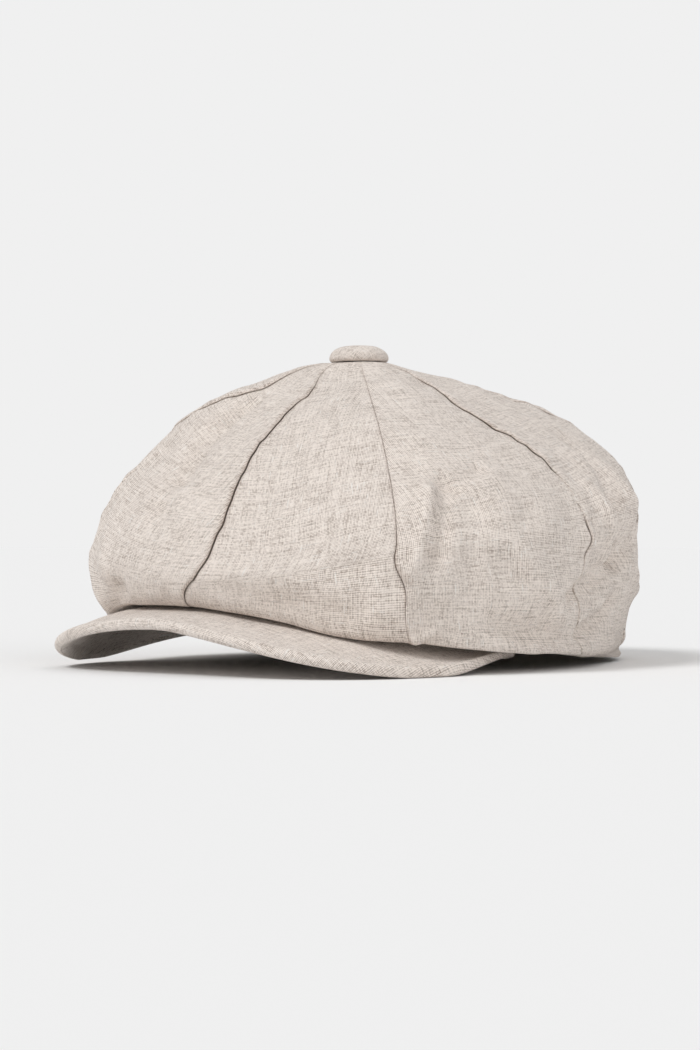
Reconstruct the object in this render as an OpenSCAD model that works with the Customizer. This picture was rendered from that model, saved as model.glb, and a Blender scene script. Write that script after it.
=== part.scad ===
// Eight-panel newsboy cap with a covered button and a stiff brim.
// +Z is up, -Y is the front, and the cap stands on z = 0 with its origin at the
// middle of its footprint. Rings round the cap are ovals about a centre of their
// own; their sizes are listed at five places: front, front corner, side, back
// corner, back. An angle of 0 is the front and 90 is the wearer's left.

/* [Head opening] */
// Half of the opening's width, at the outside of the hem
hem_half_width = 88; // [80:0.5:96]
// Half of the opening's length
hem_half_length = 99; // [90:0.5:108]
// Distance of the opening's centre behind the button
hem_back_shift = 38; // [30:0.5:46]

/* [Crown] */
// Height of the cloth at the button
crown_height = 128; // [110:1:150]
// How far the front of the crown hangs out over the hem
overhang_front = 49; // [40:1:56]
// The same at the side
overhang_side = 20; // [14:1:30]
// The same at the back
overhang_back = 5; // [3:1:12]
// How much fuller the wearer's right side of the crown stands
right_fullness = 9; // [0:0.5:12]
// How far the left side of the front droops, for each mm from the middle
left_droop = 0.055; // [0:0.005:0.07]
// How far the left front panel sags towards the brim
left_sag = 3.3; // [0:0.2:4]
// Thickness of the shell linen
linen = 0.9; // [0.6:0.1:1.2]
// Thickness of the lining cotton
lining_cloth = 0.5; // [0.3:0.1:0.8]

/* [Brim] */
// Reach of the brim in front of the hem
brim_reach = 64; // [50:1:76]
// Half of the brim's width
brim_half_width = 95; // [88:1:104]
// Height of the arch at the middle of the brim's edge
brim_arch = 20; // [12:1:24]
// Thickness of the board inside the brim
brim_board_thickness = 2; // [1.5:0.1:2.6]

/* [Band] */
// Height of the sweatband
sweatband_height = 30; // [22:1:38]
// Thickness of the sweatband
sweatband_cloth = 0.8; // [0.5:0.1:1.2]
// Width of the elastic piece at the back, as an angle
elastic_angle = 50; // [30:1:70]

/* [Button] */
// Diameter of the covered button
button_diameter = 25.4; // [20:0.1:30]
// Thickness of the covered button
button_thickness = 7; // [5:0.1:9]
// Radius of the tack's shank
tack_radius = 1.5; // [1.2:0.1:2]

/* [Hidden] */

linen_colour = [0.86, 0.81, 0.75];
cotton_colour = [0.80, 0.77, 0.71];
steel_colour = [0.66, 0.67, 0.69];

gap = 0.4;                       // clearance between cloth of different bodies
ply_gap = 0.1;                   // clearance between layers of one body
running_clearance = 0.05;        // between the tack and the patch it turns in

// Widest ring of the crown, and the ring where its cloth turns under
wide_back_shift = 16;
wide_z = [36, 48, 56, 60, 60];
full_angle = -60;                // middle of the fuller side
wide = [hem_half_length + overhang_front - hem_back_shift + wide_back_shift,
        hem_half_length + overhang_front - hem_back_shift + wide_back_shift - 2,
        hem_half_width + overhang_side - 1,
        hem_half_width + overhang_side + 5,
        hem_half_length + overhang_back + hem_back_shift - wide_back_shift - 1];
fold_back_shift = 20;
fold = [wide[0] - 3, wide[1] - 6, wide[2] - 7, wide[3] - 10, wide[4] - 5];
fold_z = [25.4, 16.5, 8, 4, 3];
hem_z = [32, 20, 6.5, 1.1, 0.5];
top_power = [1.35, 1.5, 1.7, 1.6, 1.7];
drop_power = [1.4, 1.5, 1.6, 2.15, 2];

// Angles at which the panels meet
seam_angles = [0, 41, 90, 136, 180, 224, 270, 319, 360];

front_to_button = hem_half_length - hem_back_shift + brim_reach;
brim_skin = brim_board_thickness / 2 + ply_gap + linen;
footprint_front = -front_to_button - brim_skin;
footprint_back = wide_back_shift + wide[4];
centre_y = (footprint_front + footprint_back) / 2;

// A smooth closed curve of an angle through five values and their mirror images
function wave(v, k) = (v[0] + v[4] * cos(180 * k)) / 2
    + v[1] * cos(45 * k) + v[2] * cos(90 * k) + v[3] * cos(135 * k);
function around(v, a) = (wave(v, 0) + 2 * wave(v, 1) * cos(a) + 2 * wave(v, 2) * cos(2 * a)
    + 2 * wave(v, 3) * cos(3 * a) + wave(v, 4) * cos(4 * a)) / 4;

// The droop fades from the front to nothing at the back
function droop(a, x) = left_droop * x * (1 + cos(a)) / 2;
function fullness(a, s) = right_fullness * pow(max(0, cos(a - full_angle)), 3) * pow(sin(180 * s), 0.8);

function oval(radii, heights, shift, a) =
    [around(radii, a) * sin(a), shift - around(radii, a) * cos(a), around(heights, a)];
function hem_point(a, inset, rise) =
    [(hem_half_width - inset) * sin(a), hem_back_shift - (hem_half_length - inset) * cos(a),
     around(hem_z, a) + rise - droop(a, hem_half_width * sin(a))];

// The crown from the button down to its widest ring, under to the fold, back to the hem
crown_rows = 18;
wide_row = 10;
fold_row = 15;
hole_share = 0.022;
function crown_down(a, s) =
    let(w = oval(wide, wide_z, wide_back_shift, a), u = hole_share + (1 - hole_share) * sin(90 * s),
        v = pow(1 - pow(u, around(top_power, a)), 1 / around(drop_power, a)))
    [w.x * u, w.y * u, w.z + (crown_height - w.z) * v + fullness(a, s)];
sag_angle = 27;
sag_spread = 12;
function sag(a) = left_sag * exp(-pow((a - sag_angle) / sag_spread, 2));
function fold_point(a) =
    let(f = oval(fold, fold_z, fold_back_shift, a)) f - [0, 0, droop(a, f.x) + sag(a)];
function crown_under(a, s) =
    let(w = oval(wide, wide_z, wide_back_shift, a), f = fold_point(a))
    [f.x + (w.x - f.x) * cos(90 * s), f.y + (w.y - f.y) * cos(90 * s), w.z + (f.z - w.z) * sin(90 * s)];
function crown_in(a, s) =
    let(f = fold_point(a)) f + (hem_point(a, 0, 0) - f) * s;
function crown_point(a, row) =
    row <= wide_row ? crown_down(a, max(row, 0) / wide_row)
    : row <= fold_row ? crown_under(a, (row - wide_row) / (fold_row - wide_row))
    : crown_in(a, (row - fold_row) / (crown_rows - fold_row));

// The lining is a plainer dome that stands on the hem
lining_rows = 10;
lining_wall_row = 3;
lining_wall = [for (extra = [5, 6, 12, 15, 15]) sweatband_height + extra];
lining_top = crown_height - 6;
lining_inset = 2 * ply_gap + linen + 1;
function lining_point(a, row) =
    let(foot = hem_point(a, lining_inset, 0.6), head = hem_point(a, lining_inset, around(lining_wall, a)),
        s = (lining_rows - row) / lining_wall_row,
        u = hole_share + (1 - hole_share) * sin(90 * row / (lining_rows - lining_wall_row)),
        v = pow(1 - pow(u, 1.8), 1 / 1.6))
    s < 1 ? foot + (head - foot) * s : [head.x * u, head.y * u, head.z + (lining_top - head.z) * v];

// Unit normal of a grid of points at one of its places
function normal_at(g, i, j) =
    let(n = len(g) - 1, m = len(g[0]) - 1,
        c = cross(g[min(i + 1, n)][j] - g[max(i - 1, 0)][j], g[i][min(j + 1, m)] - g[i][max(j - 1, 0)]))
    c / norm(c);
function offset_grid(g, d) =
    [for (i = [0 : len(g) - 1]) [for (j = [0 : len(g[0]) - 1]) g[i][j] + d * normal_at(g, i, j)]];

// Triangles of a closed slab between two grids of the same size
function slab_faces(n, m) = let(k = (n + 1) * (m + 1)) concat(
    [for (i = [0 : n - 1], j = [0 : m - 1], h = [0, 1]) let(p = i * (m + 1) + j)
        h == 0 ? [p, p + m + 1, p + m + 2] : [p, p + m + 2, p + 1]],
    [for (i = [0 : n - 1], j = [0 : m - 1], h = [0, 1]) let(p = k + i * (m + 1) + j)
        h == 0 ? [p, p + m + 2, p + m + 1] : [p, p + 1, p + m + 2]],
    [for (i = [0 : n - 1], e = [0, m], h = [0, 1]) let(p = i * (m + 1) + e, q = p + m + 1)
        e == 0 ? (h == 0 ? [p, q + k, q] : [p, p + k, q + k])
               : (h == 0 ? [p, q, q + k] : [p, q + k, p + k])],
    [for (j = [0 : m - 1], e = [0, n], h = [0, 1]) let(p = e * (m + 1) + j, q = p + 1)
        e == 0 ? (h == 0 ? [p, q, q + k] : [p, q + k, p + k])
               : (h == 0 ? [p, q + k, q] : [p, p + k, q + k])]);
module slab(near, far) {
    n = len(near) - 1;
    m = len(near[0]) - 1;
    points = [for (g = [near, far], i = [0 : n], j = [0 : m]) g[i][j] - [0, centre_y, 0]];
    polyhedron(points, slab_faces(n, m), convexity = 6);
}

// One sector of a shell, with the layer below it worked out past the sector's sides
panel_columns = 7;
module shell_panel(number, rows, wall, is_crown) {
    from = seam_angles[number - 1];
    step = (seam_angles[number] - from) / panel_columns;
    wider = [for (i = [0 : rows]) [for (j = [-1 : panel_columns + 1]) let(a = from + j * step)
        is_crown ? crown_point(a, i) : lining_point(a, i)]];
    function trimmed(g) = [for (r = g) [for (j = [1 : panel_columns + 1]) r[j]]];
    slab(trimmed(wider), trimmed(offset_grid(wider, -wall)));
}
module crown_panel(number) {
    color(linen_colour) shell_panel(number, crown_rows, linen, true);
}
module lining_panel(number) {
    color(cotton_colour) shell_panel(number, lining_rows, lining_cloth, false);
}

// A strip that stands on the hem, between two angles and two heights
strip_step = 6;
module strip(from, to, inset, wall, low, high) {
    n = max(2, ceil((to - from) / strip_step));
    angles = [for (i = [0 : n]) from + (to - from) * i / n];
    slab([for (a = angles) [hem_point(a, inset + wall, low), hem_point(a, inset + wall, high)]],
         [for (a = angles) [hem_point(a, inset, low), hem_point(a, inset, high)]]);
}
canvas_inset = linen + ply_gap;
canvas_cloth = 0.6;
canvas_height = 24;
band_inset = lining_inset + lining_cloth + 4 * ply_gap;
elastic_edge = 180 - elastic_angle / 2;
label_inset = band_inset + sweatband_cloth + 3 * ply_gap;
label_cloth = 0.3;
module band_canvas() {
    color([0.85, 0.83, 0.78]) strip(-100, 100, canvas_inset, canvas_cloth, 1, canvas_height);
}
module sweatband() {
    color(cotton_colour)
        strip(-elastic_edge, elastic_edge, band_inset, sweatband_cloth, 0.8, sweatband_height);
}
module sweatband_elastic() {
    color([0.78, 0.75, 0.70])
        strip(elastic_edge, 360 - elastic_edge, band_inset, sweatband_cloth, 0.8, sweatband_height);
}
module label(from, to, low, high) {
    color([0.93, 0.91, 0.87]) strip(from, to, label_inset, label_cloth, low, high);
}
module brand_label() { label(164, 196, 8, 26); }
module size_label() { label(140, 148, 8, 20); }
module care_label() { label(96, 110, 6, 28); }

// The brim lies between a curve just outside the hem and its own edge, which runs
// back in to the hem at the temples
brim_end_angle = 62;
brim_seam_gap = 5;
brim_power = 3.3;
brim_seam_drop = 1.4;            // how far below the hem its seam edge lies
brim_dish = 0.6;                 // how far the brim sags between its seam and its edge
// The arch falls to a low place on each side, then rises to the temples. Its two
// sides differ: the first value is the wearer's right, the second the left.
lobe_heights = [4, 2.3];         // middle of the board over the floor at the low places
arch_powers = [2.2, 1.25];
brim_bulges = [6.3, 0];           // how far the brim swells up between its seam and its edge
bulge_power = 1.3;
bulge_turn = 1.5;
lobe_share = 0.92;
temple_share = 0.755;
temple_rise = 6.5;
function of_side(values, a) = values[a < 0 ? 0 : 1];
function brim_seam(a) =
    let(h = hem_point(a, -brim_seam_gap * cos(a) - gap, 0))
    [h.x, h.y, h.z - brim_skin - gap - brim_seam_drop];
function brim_outline(u) =
    let(x = brim_half_width * sign(u) * pow(abs(sin(u)), 2 / brim_power),
        y = -front_to_button * pow(max(cos(u), 0), 2 / brim_power),
        fall = pow(min(1, abs(x) / brim_half_width / lobe_share), of_side(arch_powers, u)),
        rise = pow(max(0, abs(u) / 90 - temple_share) / (1 - temple_share), 2))
    [x, y, brim_arch - (brim_arch - of_side(lobe_heights, u)) * fall + temple_rise * rise];
temple_start = 0.8;
temple_blend = 0.9;
function brim_swell(a, w) =
    of_side(brim_bulges, a) * sin(180 * pow(abs(a) / brim_end_angle, bulge_turn))
        * sin(180 * pow(w, bulge_power))
    - brim_dish * sin(180 * w) * cos(a);
function brim_edge(a) =
    let(o = brim_outline(90 * a / brim_end_angle), s = brim_seam(a),
        k = pow(max(0, abs(a) / brim_end_angle - temple_start) / (1 - temple_start), 2) * temple_blend)
    o + (s - o) * k;
brim_columns = 32;
brim_rows = 8;
brim_grid = [for (j = [0 : brim_rows]) [for (i = [0 : brim_columns])
    let(a = -brim_end_angle + 2 * brim_end_angle * i / brim_columns, s = brim_seam(a), e = brim_edge(a),
        w = j / brim_rows)
    s + (e - s) * w + [0, 0, brim_swell(a, w)]]];

// Points of a skin at one side of the brim: over its face, then round its edge
edge_steps = 3;
function outward(i) = let(d = brim_grid[brim_rows][i] - brim_grid[brim_rows - 1][i]) d / norm(d);
function brim_skin_grid(r, side) = concat(
    [for (j = [0 : brim_rows]) [for (i = [0 : brim_columns])
        brim_grid[j][i] + side * r * normal_at(brim_grid, j, i)]],
    [for (k = [1 : edge_steps]) let(t = 90 - (90 - edge_stop) * k / edge_steps) [for (i = [0 : brim_columns])
        brim_grid[brim_rows][i] + r * cos(t) * outward(i)
            + side * r * sin(t) * normal_at(brim_grid, brim_rows, i)]]);
edge_stop = 4;
board_half = brim_board_thickness / 2;
cover_in = board_half + ply_gap;
module brim_board() {
    color([0.93, 0.93, 0.91])
        slab(offset_grid(brim_grid, board_half), offset_grid(brim_grid, -board_half));
}
module brim_top_cover() {
    color(linen_colour) slab(brim_skin_grid(brim_skin, 1), brim_skin_grid(cover_in, 1));
}
module brim_under_cover() {
    color(linen_colour * 0.97) slab(brim_skin_grid(cover_in, -1), brim_skin_grid(brim_skin, -1));
}

// A bias tape that binds the seam between the crown, the band and the brim
tape_angle = brim_end_angle + 8;
module brim_seam_tape() {
    color(cotton_colour) strip(-tape_angle, tape_angle, label_inset, label_cloth, -1.5, 6);
}

// Covered button: a linen cap drawn over a metal shell and held by its back plate
button_bottom = crown_height + gap;
shell_metal = 0.5;
back_plate = 0.8;
module dome(radius, height, rim) {
    // a flat-bottomed disc whose top edge is rounded by a quarter ellipse
    steps = 8;
    rotate_extrude($fn = 72)
        polygon(concat([[0, 0], [radius - 0.6, 0], [radius, 0.6]],
            [for (k = [0 : steps]) let(t = 90 * k / steps)
                [radius - rim + rim * cos(t), 0.6 + (height - 0.6) * sin(t)]],
            [[0, height]]));
}
module on_axis(z) { translate([0, -centre_y, z]) children(); }
module button_cover() {
    inner = button_diameter / 2 - linen;
    color(linen_colour) on_axis(button_bottom) difference() {
        dome(button_diameter / 2, button_thickness, 8);
        translate([0, 0, -1]) cylinder(r = inner - 3, h = 2, $fn = 72);
        translate([0, 0, linen]) dome(inner, button_thickness - 2 * linen, 7.4);
    }
}
module button_shell() {
    inner = button_diameter / 2 - linen - shell_metal - ply_gap;
    color(steel_colour) on_axis(button_bottom) difference() {
        translate([0, 0, linen + ply_gap])
            dome(button_diameter / 2 - linen - ply_gap, button_thickness - 2 * linen - 2 * ply_gap, 7.3);
        translate([0, 0, linen]) dome(inner, button_thickness - 2 * linen - shell_metal - ply_gap, 6.8);
        translate([0, 0, linen]) cylinder(r = inner - 0.6, h = 1.4, $fn = 72);
    }
}
plate_z = button_bottom + linen + ply_gap + 0.2;
module button_back() {
    color(steel_colour) on_axis(plate_z) difference() {
        cylinder(r = button_diameter / 2 - linen - shell_metal - 1.2, h = back_plate, $fn = 72);
        translate([0, 0, -1]) cylinder(r = tack_radius, h = back_plate + 2, $fn = 48);
    }
}
patch_thickness = 0.8;
patch_radius = 8;
patch_top = crown_height - linen - 2.2;
washer_thickness = 0.8;
tack_end = patch_top - patch_thickness - gap - washer_thickness - 0.6;
tack_head = 0.6;
module button_tack() {
    color(steel_colour) on_axis(tack_end) {
        cylinder(r = tack_radius, h = plate_z + back_plate - tack_end, $fn = 48);
        translate([0, 0, plate_z + back_plate - tack_end]) cylinder(r = 4, h = tack_head, $fn = 48);
        cylinder(r = tack_radius + 0.7, h = 0.6, $fn = 48);
    }
}
module button_washer() {
    color(steel_colour) on_axis(tack_end + 0.6) difference() {
        cylinder(r = 5, h = washer_thickness, $fn = 48);
        translate([0, 0, -1]) cylinder(r = tack_radius, h = washer_thickness + 2, $fn = 48);
    }
}
module peak_patch() {
    color(cotton_colour) on_axis(patch_top - patch_thickness) difference() {
        cylinder(r = patch_radius, h = patch_thickness, $fn = 72);
        translate([0, 0, -1])
            cylinder(r = tack_radius + running_clearance, h = patch_thickness + 2, $fn = 48);
    }
}

for (number = [1 : 8]) {
    crown_panel(number);
    lining_panel(number);
}
peak_patch();
band_canvas();
sweatband();
sweatband_elastic();
brand_label();
size_label();
care_label();
brim_board();
brim_top_cover();
brim_under_cover();
brim_seam_tape();
button_cover();
button_shell();
button_back();
button_tack();
button_washer();
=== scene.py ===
import math

import bpy
import numpy as np
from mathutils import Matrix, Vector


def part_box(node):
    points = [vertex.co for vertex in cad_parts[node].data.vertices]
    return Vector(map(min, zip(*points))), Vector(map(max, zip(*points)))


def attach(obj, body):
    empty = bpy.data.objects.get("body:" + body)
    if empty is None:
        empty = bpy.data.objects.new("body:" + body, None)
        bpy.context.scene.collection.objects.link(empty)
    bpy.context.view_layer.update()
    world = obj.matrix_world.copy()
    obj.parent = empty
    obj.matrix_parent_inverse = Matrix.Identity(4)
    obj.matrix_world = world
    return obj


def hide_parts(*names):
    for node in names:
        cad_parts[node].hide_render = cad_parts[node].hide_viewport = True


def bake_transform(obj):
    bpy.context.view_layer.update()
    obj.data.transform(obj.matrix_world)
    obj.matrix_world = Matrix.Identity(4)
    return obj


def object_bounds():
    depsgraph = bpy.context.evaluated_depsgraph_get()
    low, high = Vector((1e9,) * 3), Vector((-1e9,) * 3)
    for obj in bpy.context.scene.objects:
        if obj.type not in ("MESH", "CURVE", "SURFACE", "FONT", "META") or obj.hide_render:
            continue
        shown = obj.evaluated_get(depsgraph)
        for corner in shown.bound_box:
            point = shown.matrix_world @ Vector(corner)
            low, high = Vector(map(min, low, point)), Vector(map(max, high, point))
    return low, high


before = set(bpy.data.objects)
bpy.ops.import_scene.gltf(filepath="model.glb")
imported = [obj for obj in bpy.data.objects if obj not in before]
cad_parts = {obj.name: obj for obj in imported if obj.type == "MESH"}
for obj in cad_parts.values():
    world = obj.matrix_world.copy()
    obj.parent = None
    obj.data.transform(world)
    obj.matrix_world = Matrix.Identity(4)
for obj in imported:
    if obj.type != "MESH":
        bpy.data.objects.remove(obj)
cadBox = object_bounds()
mm = 0.001

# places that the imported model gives, in metres
tackLow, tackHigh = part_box("button_tack")
buttonY = (tackLow.y + tackHigh.y) / 2
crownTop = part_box("button_cover")[0].z - 0.4 * mm
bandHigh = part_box("sweatband")[1]
hemHalfWidth = bandHigh.x + 3.2 * mm
hemHalfLength = hemHalfWidth + 11 * mm
brimFront = buttonY - cadBox[0].y - 2 * mm      # from the button's axis to the board's front edge

# the crown is a stack of ovals: sizes at the front, front corner, side, back corner and back
crownShape = {
    "wideShift": 16 * mm, "wide": [126, 124, 107, 113, 125], "wideHeight": [36, 48, 56, 60, 60],
    "foldShift": 20 * mm, "fold": [123, 118, 100, 103, 120], "foldHeight": [25.4, 16.5, 8, 4, 3],
    "hemShift": 38 * mm, "hemHeight": [32, 20, 6.5, 1.1, 0.5],
    "topPower": [1.35, 1.5, 1.7, 1.6, 1.7], "dropPower": [1.4, 1.5, 1.6, 2.15, 2.0],
    "rightFullness": 9 * mm, "leftDroop": 0.055,
    "leftSag": (3.3 * mm, 27, 12), "rearLift": (3 * mm, 142, 26),    # height, middle and spread in degrees
    "topEdge": 0.006, "hole": 0.022, "wideAt": 0.55, "foldAt": 0.85,          # shares of the way down
    "seams": [0, 41, 90, 136, 180, 224, 270, 319, 360],
}


def bell(x, width):
    # 1 in the middle, falling to nothing over a few widths
    return np.exp(-(x / width) ** 2)


def runAlong(line):
    # distance travelled along a row of points, from 0 at its start
    return np.concatenate([[0], np.cumsum(np.linalg.norm(np.diff(line, axis=0), axis=-1))])


def around(values, angle):
    # smooth closed curve of an angle through five values and their mirror images: a short cosine series
    v = np.asarray(values, float)
    weights = np.array([0.5, 1, 1, 1, 0.5])
    total = 0
    for k in range(5):
        c = (v * weights * np.cos(k * np.pi / 4 * np.arange(5))).sum() / (4 if k in (0, 4) else 2)
        total = total + c * np.cos(k * angle)
    return total


def oval(radii, heights, shift, angle):
    # point of an oval ring about a centre that lies a shift behind the button's axis
    r = around(radii, angle) * mm
    return np.stack([r * np.sin(angle), shift - r * np.cos(angle), around(heights, angle) * mm], -1)


def droop(angle, x):
    # how far the front sinks on the wearer's left and rises on the right
    return crownShape["leftDroop"] * x * (1 + np.cos(angle)) / 2


def rearLift(angle):
    # the lower edge stands off the floor behind the wearer's left side
    lift, middle, spread = crownShape["rearLift"]
    return lift * bell(np.degrees(angle) % 360 - middle, spread)


def hemPoint(angle, inset=0.0, rise=0.0):
    # ellipse of the head opening, drawn in by inset and raised by rise
    s = crownShape
    x = (hemHalfWidth - inset) * np.sin(angle)
    y = s["hemShift"] - (hemHalfLength - inset) * np.cos(angle)
    z = around(s["hemHeight"], angle) * mm + rise
    z = z - droop(angle, hemHalfWidth * np.sin(angle)) + rearLift(angle)
    return np.stack([x, y + buttonY, z + 0 * x], -1)


def crownSurface(angle, down):
    # a superellipse quarter from the button out to the widest ring, a plain quarter down to the
    # fold, then straight in to the hem; down runs from 0 at the button to 1 at the hem
    s = crownShape
    angle, down = np.broadcast_arrays(np.asarray(angle, float), np.asarray(down, float))
    wide = oval(s["wide"], s["wideHeight"], s["wideShift"], angle)
    fold = oval(s["fold"], s["foldHeight"], s["foldShift"], angle)
    sag, sagAngle, sagSpread = s["leftSag"]
    turn = (np.degrees(angle) + 180) % 360 - 180
    fold[..., 2] -= droop(angle, fold[..., 0]) + sag * bell(turn - sagAngle, sagSpread)
    fold[..., 2] += rearLift(angle)
    top = np.clip(down / s["wideAt"], 0, 1)
    under = np.clip((down - s["wideAt"]) / (s["foldAt"] - s["wideAt"]), 0, 1)[..., None]
    inward = np.clip((down - s["foldAt"]) / (1 - s["foldAt"]), 0, 1)[..., None]
    u = s["hole"] + (1 - s["hole"]) * np.sin(top * np.pi / 2)
    v = np.maximum(1 - u ** around(s["topPower"], angle), 0) ** (1 / around(s["dropPower"], angle))
    lift = s["rightFullness"] * np.maximum(0, np.cos(angle + np.pi / 3)) ** 3 * np.sin(np.pi * top) ** 0.8
    upper = np.concatenate([wide[..., :2] * u[..., None],
                            (wide[..., 2] + (crownTop - wide[..., 2]) * v + lift)[..., None]], -1)
    lower = fold + (wide - fold) * np.cos(under * np.pi / 2)
    lower[..., 2:] = wide[..., 2:] + (fold[..., 2:] - wide[..., 2:]) * np.sin(under * np.pi / 2)
    hem = hemPoint(angle) - [0, buttonY, 0]
    point = np.where(down[..., None] < s["wideAt"], upper, lower) + (hem - fold) * inward
    return point + [0, buttonY, 0]


def surfaceNormal(surface, a, b, step=1e-3):
    # cross product of small steps along the two parameters
    da = surface(a + step, b) - surface(a - step, b)
    db = surface(a, np.minimum(b + step, 1)) - surface(a, np.maximum(b - step, 0))
    n = np.cross(db, da)
    return n / np.maximum(np.linalg.norm(n, axis=-1, keepdims=True), 1e-12)


def smoothNoise(points, size, seed):
    # value noise: random numbers on a lattice of the given size, blended smoothly between its corners
    rng = np.random.default_rng(seed)
    table = rng.random(4096) * 2 - 1
    p = points / size + 57.3
    cell = np.floor(p).astype(int)
    f = p - cell
    f = f * f * (3 - 2 * f)
    total = 0
    for corner in np.ndindex(2, 2, 2):
        c = cell + np.array(corner)
        key = (c[..., 0] * 73 + c[..., 1] * 1511 + c[..., 2] * 2887) % 4096
        weight = np.prod(np.where(np.array(corner) == 1, f, 1 - f), axis=-1)
        total = total + weight * table[key]
    return total


def gridMesh(name, points, uv, material, closed=False, wall=0.0, seam=None):
    # a grid of points becomes a mesh of quads with its own UV map in metres; a second map holds
    # the distance to the nearest seam and how dark the painted shade along that seam is
    rows, columns = points.shape[:2]
    index = np.arange(rows * columns).reshape(rows, columns)
    if closed:
        index = np.concatenate([index, index[:, :1]], 1)
        uv = np.concatenate([uv, uv[:, :1] + (uv[:, -1:] - uv[:, -2:-1])], 1)
    quads = np.stack([index[:-1, :-1], index[1:, :-1], index[1:, 1:], index[:-1, 1:]], -1).reshape(-1, 4)
    uvIndex = np.arange(uv.shape[0] * uv.shape[1]).reshape(uv.shape[:2])
    uvQuads = np.stack([uvIndex[:-1, :-1], uvIndex[1:, :-1], uvIndex[1:, 1:], uvIndex[:-1, 1:]], -1)
    mesh = bpy.data.meshes.new(name)
    mesh.from_pydata(points.reshape(-1, 3).tolist(), [], quads.tolist())
    layer = mesh.uv_layers.new(name="cloth")
    layer.data.foreach_set("uv", uv.reshape(-1, 2)[uvQuads.reshape(-1)].astype(np.float32).ravel())
    pair = np.ones(uv.shape) if seam is None else seam
    pair = pair.reshape(-1, 2)[uvQuads.reshape(-1)]
    mesh.uv_layers.new(name="seam").data.foreach_set("uv", pair.astype(np.float32).ravel())
    mesh.polygons.foreach_set("use_smooth", np.ones(len(quads), bool))
    obj = bpy.data.objects.new(name, mesh)
    bpy.context.scene.collection.objects.link(obj)
    mesh.materials.append(material)
    if wall:
        solid = obj.modifiers.new("wall", "SOLIDIFY")
        solid.thickness = wall
        solid.offset = -1.0          # the wall grows inwards
        solid.use_even_offset = False
        solid.use_quality_normals = True
        applyModifiers(obj)
    return obj


def applyModifiers(obj):
    graph = bpy.context.evaluated_depsgraph_get()
    graph.update()
    done = bpy.data.meshes.new_from_object(obj.evaluated_get(graph))
    old = obj.data
    obj.modifiers.clear()
    obj.data = done
    bpy.data.meshes.remove(old)


class Socket:
    # wraps a shader socket, so that sums on shader values are written as Python expressions
    def __init__(self, tree, link=None):
        self.tree = tree
        self.link = link

    def node(self, kind, settings=None, values=None, output=0):
        # one node in the same tree: its settings first, then the values or links of its sockets
        node = self.tree.nodes.new(kind)
        for key, value in (settings or {}).items():
            setattr(node, key, value)
        for key, value in (values or {}).items():
            socket = node.inputs[key]
            if isinstance(value, Socket):
                self.tree.links.new(value.link, socket)
            elif socket.type == "RGBA" and len(value) == 3:
                socket.default_value = (*value, 1)
            else:
                socket.default_value = value
        return Socket(self.tree, node.outputs[output] if node.outputs else None)

    def sibling(self, output):
        # another output of the node that this socket belongs to
        return Socket(self.tree, self.link.node.outputs[output])

    def math(self, operation, *others):
        values = {0: self}
        values.update({i + 1: other for i, other in enumerate(others)})
        return self.node("ShaderNodeMath", {"operation": operation}, values)

    def __add__(self, other):
        return self.math("ADD", other)

    def __mul__(self, other):
        return self.math("MULTIPLY", other)

    def __sub__(self, other):
        return self.math("SUBTRACT", other)

    def __rsub__(self, other):
        return self.math("MULTIPLY", -1).math("ADD", other)

    def __truediv__(self, other):
        return self.math("DIVIDE", other)

    __radd__ = __add__
    __rmul__ = __mul__


def newMaterial(name, build):
    material = bpy.data.materials.new(name)
    material.use_nodes = True
    material.node_tree.nodes.clear()
    shader = Socket(material.node_tree)
    shader.node("ShaderNodeOutputMaterial", None, {"Surface": build(shader)})
    return material


def clothPlace(shader):
    # place on the flat cloth in metres: both together, across and along
    uv = shader.node("ShaderNodeUVMap", {"uv_map": "cloth"})
    across = shader.node("ShaderNodeSeparateXYZ", None, {0: uv}, 0)
    return uv, across, across.sibling(1)


def stretched(shader, uv, scale, detail=2.0, rough=0.5, shift=(0, 0, 0)):
    # noise on the cloth's own map, drawn out along the threads
    place = shader.node("ShaderNodeMapping", None, {0: uv, "Scale": scale, "Location": shift})
    return shader.node("ShaderNodeTexNoise", {"noise_dimensions": "3D"},
                   {"Vector": place, "Scale": 1.0, "Detail": detail, "Roughness": rough})


def ramp(shader, value, low, high):
    # 0 below low, 1 above high, smooth between
    return shader.node("ShaderNodeMapRange", {"interpolation_type": "SMOOTHSTEP"},
                   {0: value, 1: low, 2: high, 3: 0.0, 4: 1.0})


def mixColour(shader, share, first, second):
    # the first colour where the share is 0, the second where it is 1
    return shader.node("ShaderNodeMix", {"data_type": "RGBA"}, {0: share, 6: first, 7: second}, 2)


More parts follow.
